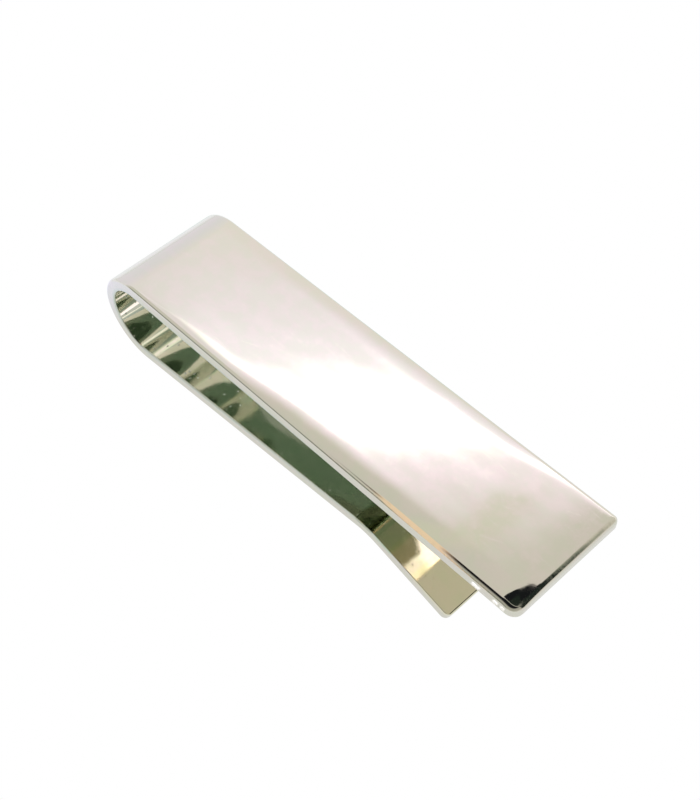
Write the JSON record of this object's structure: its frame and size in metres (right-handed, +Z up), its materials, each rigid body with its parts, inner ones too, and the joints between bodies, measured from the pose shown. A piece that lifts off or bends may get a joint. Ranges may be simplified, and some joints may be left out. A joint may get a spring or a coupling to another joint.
{
  "type": "money clip",
  "caption": "Spring money clip: a mirror-polished metal strip folded into a U, with a flat outer face, a sprung inner leg and a flared lead-in lip.",
  "frame": {"origin": "under the middle of the clip's length and width, level with its lowest point, which is the end of the lead-in lip", "axes": "+X along the clip from the fold to the free end, +Y across the strip, +Z up out of the flat outer face"},
  "size_m": [0.0542, 0.013, 0.0106],
  "materials": {
    "polished_metal": "polished"
  },
  "bodies": {
    "face": {"face_plate": "polished_metal"},
    "upper_spring": {"face_root": "polished_metal", "bend_upper": "polished_metal"},
    "lower_spring": {"bend_lower": "polished_metal", "leg_root": "polished_metal"},
    "arm": {"spring_leg": "polished_metal", "lead_in_curve": "polished_metal", "lead_in_lip": "polished_metal"}
  },
  "joints": [
    {"name": "bend_flex", "type": "hinge", "parent": "upper_spring", "child": "lower_spring", "pos_m": [-0.02715, 0, 0.00555], "axis": [0, 1, 0], "range_deg": [0, 4], "stiffness_Nm_per_rad": 0.4},
    {"name": "face_flex", "type": "hinge", "parent": "face", "child": "upper_spring", "pos_m": [-0.0117, 0, 0.0106], "axis": [0, 1, 0], "range_deg": [0, 4], "stiffness_Nm_per_rad": 0.4},
    {"name": "leg_flex", "type": "hinge", "parent": "lower_spring", "child": "arm", "pos_m": [-0.01131, 0, 0.00139], "axis": [0, 1, 0], "range_deg": [0, 4], "stiffness_Nm_per_rad": 0.4}
  ],
  "couplings": [
    {"joint": "face_flex", "follows": "bend_flex", "ratio": 1},
    {"joint": "leg_flex", "follows": "bend_flex", "ratio": 1}
  ]
}
